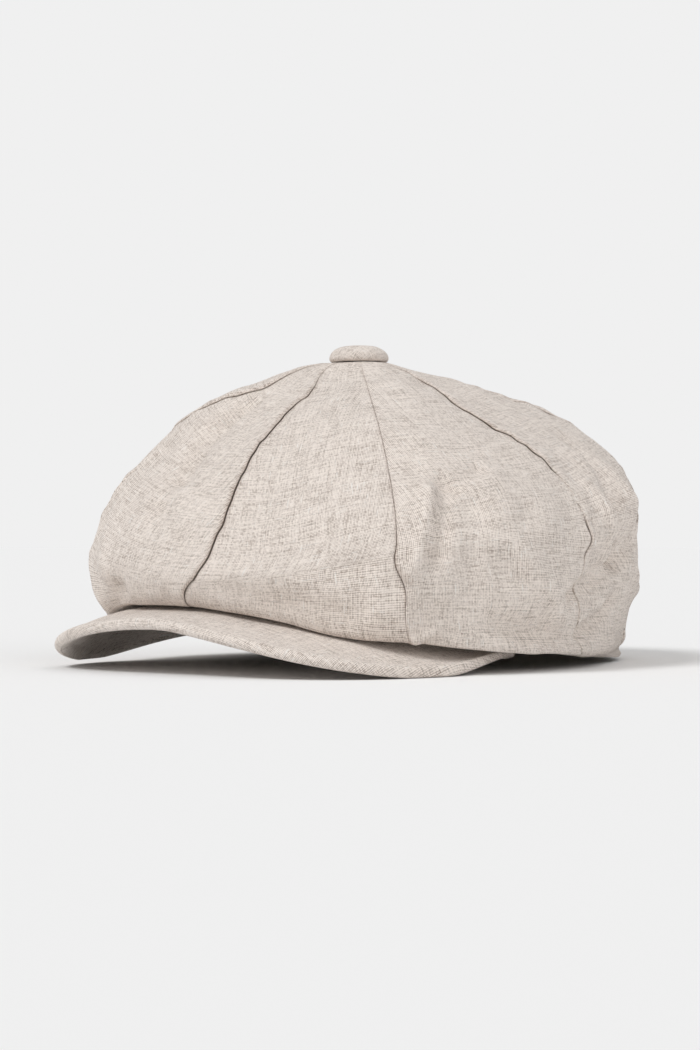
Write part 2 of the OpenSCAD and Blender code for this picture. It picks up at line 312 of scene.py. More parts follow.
linenLook = {
    "threadPitch": 0.62 * mm,
    # the gap colour is painted shade at the edges of each weave cell, and also the dark end of the threads'
    # own tones
    "thread": (0.93, 0.845, 0.775), "gap": (0.25, 0.185, 0.145), "brown": (0.36, 0.27, 0.21),
    # the seam colour on the next line is painted shade along the seams
    "cream": (0.93, 0.90, 0.86), "grey": (0.50, 0.47, 0.45), "seamPaintedShade": (0.20, 0.135, 0.10),
    "contrast": 0.62, "paleness": 0.515, "roughness": 0.92, "bump": 0.75,
    "cellTone": 0.8, "gapTone": 1.7, "gapMiddle": 0.65,
    # noises over the weave's tone: features to the metre across and along, detail, shift and weight
    "tones": (
        ((1700, 75, 1), 1, (0, 0, 0), 1.6), ((70, 1700, 1), 1, (3, 1, 0), 1.75),
        ((45, 45, 1), 3, (0, 0, 0), 0.1), ((55, 260, 1), 2, (8, 2, 0), 0.5),
        ((330, 60, 1), 2, (6, 7, 0), 0.5),
    ),
    # slub, brown slub, grey slub and cream streak: features to the metre, shift, and where they show
    "oddThreads": (
        ((150, 1250, 1), (7, 5, 0), (0.66, 0.74)), ((150, 1700, 1), (1, 9, 0), (0.70, 0.76)),
        ((110, 1500, 1), (5, 3, 0), (0.70, 0.77)), ((1300, 130, 1), (4, 2, 0), (0.66, 0.76)),
    ),
    "slubShare": 0.45, "brownShare": 0.65, "greyShare": 0.45, "creamShare": 0.75,
    # reach of the painted seam shade line, and of the fainter painted brown shade beside it
    "seamLine": (0.03 * mm, 0.26 * mm), "seamSideShadeReach": (0.3 * mm, 1.8 * mm),
}


def linen(shader, look=linenLook):
    # plain weave: each cell of the grid shows one thread, and every cell has a tone of its own
    uv, across, along = clothPlace(shader)
    u = across / look["threadPitch"]
    v = along / look["threadPitch"]
    cellU, cellV = u.math("FLOOR"), v.math("FLOOR")
    fromMiddleU = (u - cellU - 0.5) * 2
    fromMiddleV = (v - cellV - 0.5) * 2
    over = ((cellU + cellV) * 0.5).math("FRACT") * 2
    warpRound = 1 - fromMiddleU * fromMiddleU
    weftRound = 1 - fromMiddleV * fromMiddleV
    thread = over * warpRound + (1 - over) * weftRound
    gaps = (warpRound * weftRound).math("POWER", 0.5)
    cell = shader.node("ShaderNodeCombineXYZ", None, {0: cellU, 1: cellV})
    cellTone = shader.node("ShaderNodeTexWhiteNoise", {"noise_dimensions": "2D"}, {"Vector": cell})
    # tone falls towards each cell's edges, where the gap colour shows: painted shade between the threads
    tone = 0.5 + (cellTone - 0.5) * look["cellTone"] + (gaps - look["gapMiddle"]) * look["gapTone"]
    for scale, detail, shift, weight in look["tones"]:
        tone = tone + (stretched(shader, uv, scale, detail, shift=shift) - 0.5) * weight
    share = tone.math("MULTIPLY_ADD", look["contrast"], look["paleness"])
    share = share.math("MINIMUM", 1).math("MAXIMUM", 0)
    colour = mixColour(shader, share, look["gap"], look["thread"])
    slub, brownSlub, greySlub, creamStreak = (
        ramp(shader, stretched(shader, uv, scale, 1, shift=shift), *shown)
        for scale, shift, shown in look["oddThreads"])
    colour = mixColour(shader, creamStreak * look["creamShare"], colour, look["cream"])
    colour = mixColour(shader, slub * look["slubShare"], colour, look["cream"])
    colour = mixColour(shader, brownSlub * look["brownShare"] * (0.4 + cellTone), colour, look["brown"])
    colour = mixColour(shader, greySlub * look["greyShare"], colour, look["grey"])
    # painted shade along the line where two panels meet, patchy along its length, with a fainter painted
    # brown shade just beside it
    seam = shader.node("ShaderNodeUVMap", {"uv_map": "seam"})
    distance = shader.node("ShaderNodeSeparateXYZ", None, {0: seam}, 0)
    strength = distance.sibling(1)
    patchy = ramp(shader, stretched(shader, uv, (90, 90, 1), 1, shift=(2, 6, 0)), 0.2, 0.6)
    line = 1 - ramp(shader, distance / (0.2 + strength * 0.8), *look["seamLine"])
    # fainter painted brown shade within a couple of millimetres of the seam
    seamSideShade = 1 - ramp(shader, distance, *look["seamSideShadeReach"])
    colour = mixColour(shader, seamSideShade * strength * 0.2, colour, look["brown"])
    colour = mixColour(shader, line * strength * (patchy * 0.5 + 0.45), colour, look["seamPaintedShade"])
    height = thread * 0.6 + tone * 0.35 + slub * 0.6 + brownSlub * 0.4
    normal = shader.node("ShaderNodeBump", None,
                         {"Strength": look["bump"], "Distance": 0.2 * mm, "Height": height})
    return shader.node("ShaderNodeBsdfPrincipled", None, {
        "Base Color": colour, "Roughness": look["roughness"], "Normal": normal,
        "Sheen Weight": 0.2, "Sheen Roughness": 0.5, "Specular IOR Level": 0.12})


def plainCloth(base, shade, pitch, ribs=False):
    # a fine cotton: threads both ways, or ribs one way
    def build(shader):
        uv, across, along = clothPlace(shader)
        wave = 2 * math.pi / pitch
        threads = ((across + along) * wave).math("SINE") if ribs else (
            (across * wave).math("SINE") * (along * wave).math("SINE"))
        tones = stretched(shader, uv, (700, 60, 1)) * 0.5 + stretched(shader, uv, (60, 700, 1)) * 0.5
        colour = mixColour(shader, ramp(shader, tones, 0.35, 0.65), shade, base)
        # darker in the low parts of the threads: painted shade between them
        colour = mixColour(shader, ramp(shader, threads, 0.0, -1.0) * 0.2, colour, shade)
        normal = shader.node("ShaderNodeBump", None,
                         {"Strength": 0.3, "Distance": 0.15 * mm, "Height": threads * 0.6 + tones})
        return shader.node("ShaderNodeBsdfPrincipled", None, {
            "Base Color": colour, "Roughness": 0.85, "Normal": normal,
            "Sheen Weight": 0.15, "Specular IOR Level": 0.2})
    return build


def hardFinish(base, metallic, roughness, speckle):
    # moulded sheet or plated metal: a slight change of gloss and tone on object coordinates
    def build(shader):
        place = shader.node("ShaderNodeTexCoord", None, None, 3)
        cloud = shader.node("ShaderNodeTexNoise", None, {"Vector": place, "Scale": speckle, "Detail": 4.0})
        darker = tuple(c * 0.86 for c in base)
        colour = mixColour(shader, ramp(shader, cloud, 0.3, 0.7), darker, base)
        normal = shader.node("ShaderNodeBump", None,
                         {"Strength": 0.1, "Distance": 0.05 * mm, "Height": cloud})
        return shader.node("ShaderNodeBsdfPrincipled", None, {
            "Base Color": colour, "Metallic": metallic, "Roughness": cloud * 0.2 + (roughness - 0.1),
            "Normal": normal})
    return build


linenCloth = newMaterial("natural_linen", linen)
# base and darker colours (the darker also painted shade between threads), size of the pattern and whether
# it runs in ribs
plainCloths = {
    "lining_cotton": ((0.70, 0.64, 0.55), (0.60, 0.53, 0.44), 0.32 * mm, False),
    "sweatband_twill": ((0.66, 0.59, 0.50), (0.52, 0.45, 0.37), 0.7 * mm, True),
    "stiff_canvas": ((0.82, 0.79, 0.72), (0.70, 0.66, 0.58), 0.6 * mm, False),
    "label_tape": ((0.90, 0.88, 0.83), (0.80, 0.77, 0.70), 0.25 * mm, False),
    "sewing_thread": ((0.74, 0.68, 0.60), (0.58, 0.51, 0.44), 0.2 * mm, True),
}
liningCotton, bandTwill, canvasCloth, labelTape, sewingThread = (
    newMaterial(name, plainCloth(*look)) for name, look in plainCloths.items())
mouldedBoard = newMaterial("moulded_board", hardFinish((0.86, 0.86, 0.83), 0.0, 0.55, 300))
platedSteel = newMaterial("plated_steel", hardFinish((0.62, 0.63, 0.65), 1.0, 0.35, 900))
print("materials ready")


def paintNode(name, material):
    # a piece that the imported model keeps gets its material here
    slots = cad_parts[name].data.materials
    slots.clear()
    slots.append(material)


panelLook = {
    "columns": 72, "rows": 170, "wall": 0.9 * mm, "foldSoftness": 9, "topFlat": 15 * mm,
    "seamDepth": 0.35 * mm, "seamWidth": 0.8 * mm, "allowance": 7.5 * mm, "allowanceRise": 0.4 * mm,
    "pucker": 0.8 * mm, "puckerSize": 5.4 * mm, "puckerReach": 8 * mm,
    # soft ripples: size and height
    "undulation": ((48 * mm, 1.9 * mm), (24 * mm, 1.3 * mm), (12 * mm, 0.55 * mm), (6 * mm, 0.16 * mm)),
    "creaseScale": 1.55, "floorGap": 0.4 * mm, "crowding": 0.085,
    "fadeStart": 6 * mm, "fadeLength": 30 * mm, "hemFade": 0.15,     # where folds begin and end
    "stepWidth": 4.5 * mm, "stepStart": 0.6 * mm,                 # the raised side of a seam
    "roll": (1.1 * mm, 5 * mm, 3.6 * mm), "tuck": (1.8 * mm, 15 * mm, 8 * mm),   # height, place, width
    "rollSpan": (40, 118),                                        # degrees: where the hem's roll shows
}
# each seam: which side lies on top (1 is the side of greater angle), by how much, and how dark its
# painted shade line is at shares of the way down
seamStyle = {
    0: (-1, 0.9, ((0, 0.5), (0.1, 0.8), (0.2, 0.95), (0.55, 0.9), (0.62, 0.7), (0.7, 0.35), (0.85, 0.4))),
    1: (1, 0.35, ((0, 0.35), (0.3, 0.3), (0.45, 0.55), (0.55, 0.95), (0.6, 0.8), (0.64, 0.3), (0.85, 0.4))),
    2: (1, 0.9, ((0, 0.3), (0.1, 0.6), (0.3, 0.8), (0.35, 0.6), (0.39, 0.05), (0.49, 0.02), (0.52, 0.6),
        (0.56, 0.5), (0.6, 0.05), (0.85, 0.12))),
    3: (1, 0.3, ((0, 0.5), (0.4, 0.5), (0.6, 0.2), (0.75, 0), (0.85, 0))),
    7: (-1, 1.0, ((0, 0.4), (0.1, 0.7), (0.22, 0.45), (0.3, 0.12), (0.85, 0.1))),
}
plainSeam = (1, 0.8, ((0, 0.5), (0.4, 0.6), (0.6, 0.3), (0.78, 0.1), (0.85, 0.05)))
# broad soft changes of shape: (degrees, share down), reach and height in mm
swells = (
    ((128, 0.46), 26, 3.0), ((115, 0.24), 34, -2.4), ((124, 0.8), 18, -1.6), ((-60, 0.45), 30, 0.8),
    ((66, 0.5), 26, 1.6), ((18, 0.5), 24, 1.0),
)
# how each seam wanders from its straight line: (share of the way down, degrees)
seamWander = {
    0: ((0, -16), (0.05, -13), (0.09, 0.5), (0.16, 2.5), (0.22, 3.1), (0.3, 3.8), (0.4, 4.2),
        (0.46, 4), (0.51, 2.3), (0.57, 0.5), (0.64, -0.8), (0.7, -1.2), (0.85, -1.8)),
    1: ((0, -4), (0.2, -2.2), (0.3, -1.2), (0.4, -0.8), (0.5, -0.9), (0.57, -1.3), (0.62, 0.3),
        (0.7, 0.3), (0.85, 0.8)),
    2: ((0, -6), (0.07, -8), (0.13, -12), (0.2, -13.5), (0.26, -10), (0.33, -7.5), (0.38, -4.5),
        (0.43, -3.2), (0.5, -3), (0.57, -3), (0.7, -2.4), (0.85, -1.5)),
    3: ((0, 0), (0.3, 2), (0.6, -2), (0.85, 0)),
    4: ((0, 0), (0.25, -2), (0.55, 2), (0.85, 0)),
    5: ((0, 0), (0.3, -2), (0.6, 1), (0.85, 0)),
    6: ((0, 0), (0.25, 3), (0.5, -1), (0.85, 1)),
    7: ((0, -8), (0.06, 0), (0.11, 9), (0.17, 4), (0.22, -2), (0.3, -6), (0.5, -9), (0.85, -8)),
}
# creases: start and end as (degrees, share down), half-width and height in mm (below 0 is a valley)
creases = (
    ((47.5, 0.38), (42.0, 0.6), 3.4, 3.4), ((51.5, 0.36), (46.0, 0.58), 4.2, -3.2),
    ((56, 0.4), (53.0, 0.68), 7.0, -1.8), ((-27, 0.14), (-14, 0.34), 7.0, -3.4),
    ((-13, 0.36), (-25, 0.73), 7.0, -2.8), ((80, 0.66), (122, 0.56), 5.0, -3.4),
    ((84, 0.57), (118, 0.48), 6.0, 1.8), ((85.5, 0.75), (108, 0.66), 3.6, -2.8),
    ((40.0, 0.565), (43.0, 0.61), 1.3, 1.4), ((52, 0.39), (62, 0.35), 3.4, -1.6),
    ((-50, 0.55), (-34, 0.74), 5.0, 1.0), ((-62, 0.5), (-44, 0.7), 5.0, -1.2),
    ((4, 0.6), (34, 0.72), 7.0, -1.4), ((10, 0.48), (30, 0.44), 8.0, -1.2),
    ((62, 0.54), (80, 0.72), 6.0, 2.4), ((56, 0.7), (80, 0.76), 5.0, -2.0),
    ((93, 0.4), (99, 0.62), 4.0, 1.8), ((100, 0.44), (108, 0.62), 4.5, -2.4),
    ((112, 0.4), (116, 0.62), 6.0, 1.8), ((-38, 0.3), (-26, 0.62), 6.0, 2.0),
    ((-50, 0.26), (-38, 0.5), 6.0, -1.8), ((70, 0.44), (60, 0.62), 7.0, -1.6),
    ((32.8, 0.53), (33.5, 0.7), 2.6, -0.9), ((37, 0.52), (37, 0.7), 2.4, 0.7),
    ((41.8, 0.82), (48, 0.72), 2.2, 0.8), ((43.5, 0.83), (51, 0.74), 2.4, -0.8),
    ((89.5, 0.5), (89.0, 0.57), 1.8, -1.0), ((100, 0.35), (96, 0.52), 5.5, 1.6),
    ((108, 0.3), (104, 0.5), 6.0, -1.6), ((60, 0.66), (84, 0.62), 6.0, 1.0),
    ((-70, 0.3), (-58, 0.62), 6.0, -0.8), ((-95, 0.42), (-62, 0.66), 5.0, -1.8),
    ((-120, 0.55), (-85, 0.66), 5.0, 1.5), ((-150, 0.35), (-140, 0.62), 6.0, -1.5),
    ((150, 0.36), (143, 0.64), 6.0, -1.6), ((170, 0.6), (200, 0.66), 4.5, -1.6),
    ((118, 0.62), (160, 0.72), 4.0, 1.3), ((-112, 0.7), (-160, 0.62), 4.5, -1.5),
)


def smoothThrough(pairs, x):
    # cubic pieces through the pairs, each with the slope between its neighbours
    xs, ys = np.array(pairs, float).T
    slope = np.gradient(ys, xs)
    i = np.clip(np.searchsorted(xs, x) - 1, 0, len(xs) - 2)
    gap = xs[i + 1] - xs[i]
    f = np.clip((x - xs[i]) / gap, 0, 1)
    g = 1 - f
    ends = ys[i] * g * g * (1 + 2 * f) + ys[i + 1] * f * f * (1 + 2 * g)
    return ends + gap * f * g * (slope[i] * g - slope[i + 1] * f)


def seamAngle(number, down):
    # the seam's angle on the way down, with its wander
    k = number % 8
    return np.radians(crownShape["seams"][number] + smoothThrough(seamWander[k], down))


def creaseHeight(points):
    # each crease is a ridge or valley with a bell-shaped section round a line, fading at its ends
    total = np.zeros(points.shape[:-1])
    for start, end, width, height in creases:
        a = crownSurface(math.radians(start[0]), start[1])
        b = crownSurface(math.radians(end[0]), end[1])
        mid = crownSurface(math.radians((start[0] + end[0]) / 2), (start[1] + end[1]) / 2)
        bow = mid - (a + b) / 2
        line = b - a
        t = ((points - a) @ line) / (line @ line)
        inside = np.clip(t, 0, 1)[..., None]
        nearest = a + line * inside + bow * 4 * inside * (1 - inside)
        far = np.linalg.norm(points - nearest, axis=-1)
        fade = np.clip(t * 4 + 0.6, 0, 1) * np.clip((1 - t) * 4 + 0.6, 0, 1)
        total += height * mm * bell(far, width * mm) * fade * fade
    return total


def roundFold(points, down, passes):
    # averages each column of the grid with its neighbours near the fold, so the cloth turns in softly
    weight = bell(down - crownShape["foldAt"], 0.035)[..., None]
    for _ in range(passes):
        middle = points[1:-1] + (points[:-2] + points[2:] - 2 * points[1:-1]) * 0.33 * weight[1:-1]
        points = np.concatenate([points[:1], middle, points[-1:]])
    return points


def swellHeight(points):
    # round bell-shaped rises and hollows
    total = np.zeros(points.shape[:-1])
    for (angle, down), reach, height in swells:
        far = np.linalg.norm(points - crownSurface(math.radians(angle), down), axis=-1)
        total += height * mm * bell(far, reach * mm)
    return total


def crownPanel(number):
    # one panel: the crown's surface between its two seams, moved out along its normal by folds and seams
    look = panelLook
    down = np.linspace(crownShape["topEdge"], 1, look["rows"])[:, None] * np.ones(look["columns"])
    across = np.linspace(0, 1, look["columns"])[None, :]
    across = across - look["crowding"] * np.sin(2 * np.pi * across)        # more columns near the seams
    across = across * np.ones_like(down)
    left, right = seamAngle(number - 1, down), seamAngle(number, down)
    angle = left + (right - left) * across
    points = crownSurface(angle, down)
    normal = surfaceNormal(crownSurface, angle, down)
    points = roundFold(points, down, look["foldSoftness"])
    fromAxis = np.hypot(points[..., 0], points[..., 1] - buttonY)
    lift = (crownTop + 0.3 * mm - points[..., 2]) / (1 + (fromAxis / look["topFlat"]) ** 8)
    points[..., 2] += np.where(down < 0.5, lift, 0)
    width = np.linalg.norm(np.diff(points, axis=1), axis=-1).sum(1)[:, None]
    middle = points[:, look["columns"] // 2]
    length = runAlong(middle)[:, None]
    fromLeft, fromRight = width * across, width * (1 - across)
    edge = np.minimum(fromLeft, fromRight)
    topFade = np.clip((length - look["fadeStart"]) / look["fadeLength"], 0.12, 1)
    hemFade = np.clip((1 - down) / look["hemFade"], 0, 1)
    height = (creaseHeight(points) * look["creaseScale"] + swellHeight(points)) * topFade
    for i, (size, amount) in enumerate(look["undulation"]):
        height += smoothNoise(points, size, 11 + i) * amount * topFade
    # the seam is a groove; the cloth beside it lies over the turned-in allowance and puckers
    puckers = smoothNoise(points, look["puckerSize"], 31)
    height += look["pucker"] * puckers * bell(edge, look["puckerReach"]) * topFade
    strength = np.zeros_like(angle)
    for seam, side, distance in ((number - 1, 1, fromLeft), (number, -1, fromRight)):
        onTop, rise, shades = seamStyle.get(seam % 8, plainSeam)
        dark = smoothThrough(shades, down)
        near = bell(distance, look["stepWidth"]) * (1 - bell(distance, look["stepStart"]))
        step = rise * mm * near * (0.1 + 0.9 * dark) * np.clip((0.85 - down) / 0.07, 0, 1)
        height += np.where(onTop == side, step, -0.35 * step) * topFade
        overAllowance = 1 / (1 + np.exp((distance - look["allowance"]) / (0.9 * mm)))
        height += look["allowanceRise"] * overAllowance * (onTop == side) * topFade
        strength = np.where(distance <= edge + 1e-9, dark, strength)
    groove = bell(edge, look["seamWidth"]) * np.clip(topFade * 1.2, 0, 1) * (0.35 + 0.65 * hemFade)
    height -= look["seamDepth"] * groove * (0.3 + 0.8 * strength)
    # the cloth tucks in above the hem, then rolls over the turned-up edge
    aboveFold = np.interp(crownShape["foldAt"], down[:, 0], length[:, 0]) - length
    rollRise, rollAt, rollWidth = look["roll"]
    tuckDepth, tuckAt, tuckWidth = look["tuck"]
    roll = rollRise * bell(aboveFold - rollAt, rollWidth)
    roll = roll - tuckDepth * bell(aboveFold - tuckAt, tuckWidth)
    rollFrom, rollTo = look["rollSpan"]
    turned = np.degrees(angle)
    roll = roll * np.clip((turned - rollFrom) / 12, 0, 1) * np.clip((rollTo - turned) / 20, 0, 1)
    roll = roll * (0.85 + 0.5 * smoothNoise(points, 16 * mm, 41))
    height = height * hemFade * (1 - 0.6 * bell(down - crownShape["foldAt"] - 0.01, 0.045))
    points = points + normal * (height + roll)[..., None]
    points[..., 2] = np.maximum(points[..., 2], look["floorGap"])
    uv = np.stack([(across - 0.5) * width + 0.4 * number, length + 0 * across], -1)
    name = f"crown_linen_{number}"
    panel = gridMesh(name, points, uv, wall=look["wall"], material=linenCloth,
                     seam=np.stack([edge + 0 * down, strength], -1))
    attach(panel, "crown")
    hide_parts(f"crown_panel_{number}")


for number in range(1, 9):
    crownPanel(number)

liningLook = {
    "columns": 26, "rows": 60, "wall": 0.5 * mm, "inset": 2.1 * mm, "below": 6 * mm,
    "wallHeight": [35, 36, 42, 45, 45], "undulation": 0.7 * mm, "seamDepth": 0.8 * mm,
    "domeShare": 0.7, "domePower": (1.8, 1.6),
}


def liningSurface(angle, down):
    # straight up from the hem, then a superellipse dome to the top
    look = liningLook
    foot = hemPoint(angle, look["inset"], 0.6 * mm)
    head = hemPoint(angle, look["inset"], around(look["wallHeight"], angle) * mm)
    share, (outPower, dropPower) = look["domeShare"], look["domePower"]
    u = crownShape["hole"] + (1 - crownShape["hole"]) * np.sin(np.clip(down / share, 0, 1) * np.pi / 2)
    v = np.maximum(1 - u ** outPower, 0) ** (1 / dropPower)
    top = crownTop - look["below"]
    dome = np.stack([head[..., 0] * u, (head[..., 1] - buttonY) * u + buttonY,
                     head[..., 2] + (top - head[..., 2]) * v], -1)
    wall = head + (foot - head) * np.clip((down - share) / (1 - share), 0, 1)[..., None]
    return np.where(down[..., None] < share, dome, wall)


def liningPanel(number):
    # one panel of the lining's surface between two straight seams, with a little looseness
    look = liningLook
    down = np.linspace(crownShape["topEdge"], 1, look["rows"])[:, None] * np.ones(look["columns"])
    across = np.linspace(0, 1, look["columns"])[None, :] * np.ones_like(down)
    seams = np.radians(crownShape["seams"])
    angle = seams[number - 1] + (seams[number] - seams[number - 1]) * across
    points = liningSurface(angle, down)
    normal = surfaceNormal(liningSurface, angle, down)
    width = np.linalg.norm(np.diff(points, axis=1), axis=-1).sum(1)[:, None]
    length = runAlong(points[:, 12])[:, None]
    edge = np.minimum(across, 1 - across) * width
    loose = np.clip((0.72 - down) / 0.1, 0, 1) * np.clip(down / 0.1, 0, 1)
    height = smoothNoise(points, 24 * mm, 51) * look["undulation"]
    height = height - look["seamDepth"] * bell(edge, 1.6 * mm)
    points = points + normal * (height * loose)[..., None]
    uv = np.stack([(across - 0.5) * width + 0.3 * number, length + 0 * across], -1)
    panel = gridMesh(f"lining_cotton_{number}", points, uv, wall=look["wall"], material=liningCotton)
    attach(panel, "crown")
    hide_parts(f"lining_panel_{number}")


for number in range(1, 9):
    liningPanel(number)
print("crown and lining ready")

bandLook = {
    "canvasInset": 1.0 * mm, "bandInset": 3.2 * mm, "labelInset": 4.3 * mm, "height": 30 * mm,
    "rippleSize": 12 * mm, "ribHeight": 0.25 * mm,
    "stitchLength": 2.6 * mm, "stitchGap": 0.9 * mm, "stitchRadius": 0.22 * mm,
}


def strip(name, node, material, start, end, inset, wall, low, high,
          ripple=0.0, ribs=0, columnStep=1.2):
    # a cloth strip that stands on the hem between two angles, rippled and ribbed across its middle
    columns = max(4, int((end - start) / columnStep))
    a = np.radians(np.linspace(start, end, columns))[None, :]
    share = np.linspace(0, 1, 16)[:, None]
    angle = a + 0 * share
    rise = high + (low - high) * share
    points = hemPoint(angle, inset, 0) + np.stack([0 * angle, 0 * angle, rise + 0 * angle], -1)
    outward = hemPoint(angle, 0) - hemPoint(angle, 1 * mm)
    outward /= np.linalg.norm(outward, axis=-1, keepdims=True)
    height = ripple * smoothNoise(points, bandLook["rippleSize"], 61)
    if ribs:
        height = height + bandLook["ribHeight"] * np.sin(share * np.pi * ribs) * np.ones_like(angle)
    points = points + outward * (height * np.sin(np.pi * share))[..., None]
    along = runAlong(points[8])[None, :]          # measured at half height
    uv = np.stack([along + 0 * share, rise + 0 * along], -1)
    piece = gridMesh(name, points, uv, wall=wall, material=material)
    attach(piece, "crown")
    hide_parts(node)


# for each strip: its name, CAD node and cloth, the angles it runs between, how far inside the hem it
# stands, its thickness, and its lower and upper edge above the hem
strip("band_canvas_strip", "band_canvas", canvasCloth,
      -100, 100, bandLook["canvasInset"], 0.6 * mm, 1 * mm, 24 * mm)
strip("sweatband_cotton", "sweatband", bandTwill,
      -155, 155, bandLook["bandInset"], 0.8 * mm, 0.8 * mm, bandLook["height"], ripple=0.25 * mm)
strip("sweatband_back_elastic", "sweatband_elastic", bandTwill,
      155, 205, bandLook["bandInset"], 0.8 * mm, 0.8 * mm, bandLook["height"],
      ripple=0.2 * mm, ribs=12, columnStep=0.5)
strip("main_label_tape", "brand_label", labelTape,
      164, 196, bandLook["labelInset"], 0.3 * mm, 8 * mm, 26 * mm)
strip("size_label_tape", "size_label", labelTape,
      140, 148, bandLook["labelInset"], 0.3 * mm, 8 * mm, 20 * mm)
strip("care_label_tape", "care_label", labelTape,
      96, 110, bandLook["labelInset"], 0.3 * mm, 6 * mm, 28 * mm)
strip("brim_seam_binding", "brim_seam_tape", liningCotton,
      -70, 70, bandLook["labelInset"], 0.3 * mm, -1.5 * mm, 8.7 * mm)


def stitchRow(name, starts, ends, material, body, radius):
    # one small capsule for each stitch: a ring profile carried from its start to its end
    starts, ends = np.asarray(starts), np.asarray(ends)
    line = ends - starts
    length = np.linalg.norm(line, axis=-1, keepdims=True)
    along = line / length
    side = np.cross(along, [0, 0, 1.0])
    side /= np.maximum(np.linalg.norm(side, axis=-1, keepdims=True), 1e-9)
    up = np.cross(side, along)
    turn = np.arange(6) * np.pi / 3
    stations = np.array([(0.0, 0.25), (0.12, 0.8), (0.3, 1.0), (0.7, 1.0), (0.88, 0.8), (1.0, 0.25)])
    ring = np.cos(turn)[None, :, None] * side[:, None, None, :].swapaxes(1, 2) * radius
    ring = ring + np.sin(turn)[None, :, None] * up[:, None, None, :].swapaxes(1, 2) * radius
    points = starts[:, None, None] + line[:, None, None] * stations[None, :, None, :1]
    points = points + ring[:, None, :, :] * stations[None, :, None, 1:]
    count, rows, columns = points.shape[:3]
    index = np.arange(rows * columns).reshape(rows, columns)
    rolled = np.roll(index, -1, 1)
    quads = np.stack([index[:-1], index[1:], rolled[1:], rolled[:-1]], -1).reshape(-1, 4)
    caps = [index[0].tolist(), index[-1][::-1].tolist()]
    faces = [(quads + i * rows * columns).tolist() for i in range(count)]
    faces = [f for block in faces for f in block] + [[v + i * rows * columns for v in c]
                                                     for i in range(count) for c in caps]
    mesh = bpy.data.meshes.new(name)
    mesh.from_pydata(points.reshape(-1, 3).tolist(), [], faces)
    layer = mesh.uv_layers.new(name="cloth")
    loops = np.zeros(len(mesh.loops), int)
    mesh.loops.foreach_get("vertex_index", loops)
    spot = points.reshape(-1, 3)[loops]
    layer.data.foreach_set("uv", np.stack([spot[:, 0], spot[:, 2]], -1).astype(np.float32).ravel())
    mesh.polygons.foreach_set("use_smooth", np.ones(len(mesh.polygons), bool))
    mesh.materials.append(material)
    obj = bpy.data.objects.new(name, mesh)
    bpy.context.scene.collection.objects.link(obj)
    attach(obj, body)


def bandStitches(name, rise, inset, start, end):
    # a straight row of stitches along the band at one height
    look = bandLook
    pitch = look["stitchLength"] + look["stitchGap"]
    count = int(math.radians(end - start) * hemHalfLength / pitch)
    a = np.radians(np.linspace(start, end, count, endpoint=False))
    b = a + look["stitchLength"] / hemHalfLength
    stitchRow(name, hemPoint(a, inset, rise), hemPoint(b, inset, rise), sewingThread, "crown",
              look["stitchRadius"])


inner = bandLook["bandInset"] + 0.8 * mm
bandStitches("band_top_stitches", 27.5 * mm, inner, -154, 154)
bandStitches("band_hem_stitches", 3 * mm, inner, -154, 154)
print("band ready")

brimShape = {
    "halfWidth": 95 * mm, "arch": 20 * mm, "power": 3.3,
    "lobe": (4 * mm, 2.3 * mm), "archPower": (2.2, 1.25), "bulge": (6.3 * mm, 0.0),
    "bulgePower": 1.3, "bulgeTurn": 1.5,
    "lobeShare": 0.92, "templeShare": 0.755, "templeRise": 6.5 * mm, "templeStart": 0.8,
    "seamGap": 5 * mm, "seamDrop": 1.4 * mm, "gap": 0.4 * mm, "dish": 0.6 * mm,
    "skin": 2 * mm, "clothEnd": 64, "endTaper": 0.5, "wall": 0.85 * mm,     # half thickness, degrees, share
    "columns": 220, "rows": 50, "ridgeIn": 4.6 * mm, "ridgeRise": 0.35 * mm,
    "crowding": 0.06, "cut": (192 * mm, 120 * mm),
}


def brimMiddle(u, w):
    # ruled between the seam edge (w = 0) and the outer edge (w = 1); u runs from -1 to 1 round the front
    s = brimShape
    a = u * math.radians(s["clothEnd"])
    inset = -s["seamGap"] * np.cos(a) - s["gap"]
    seam = hemPoint(a, inset, -s["skin"] - s["gap"] - s["seamDrop"])
    turn = u * np.pi / 2
    x = s["halfWidth"] * np.sign(turn) * np.abs(np.sin(turn)) ** (2 / s["power"])
    y = buttonY - brimFront * np.maximum(np.cos(turn), 0) ** (2 / s["power"])
    right = u < 0                   # the wearer's right side comes first in each pair
    fall = np.minimum(1, np.abs(x) / s["halfWidth"] / s["lobeShare"]) ** np.where(right, *s["archPower"])
    rise = (np.maximum(0, np.abs(u) - s["templeShare"]) / (1 - s["templeShare"])) ** 2
    z = s["arch"] - (s["arch"] - np.where(right, *s["lobe"])) * fall + s["templeRise"] * rise
    outline = np.stack([x, y, z], -1)
    back = (np.maximum(0, np.abs(u) - s["templeStart"]) / (1 - s["templeStart"]))[..., None] ** 2 * 0.9
    edge = outline + (seam - outline) * back
    swell = np.where(right, *s["bulge"]) * np.sin(np.pi * np.abs(u) ** s["bulgeTurn"])
    swell = swell * np.sin(np.pi * w ** s["bulgePower"])
    point = seam + (edge - seam) * w[..., None]
    point[..., 2] += swell - s["dish"] * np.sin(np.pi * w) * np.cos(a)
    return point


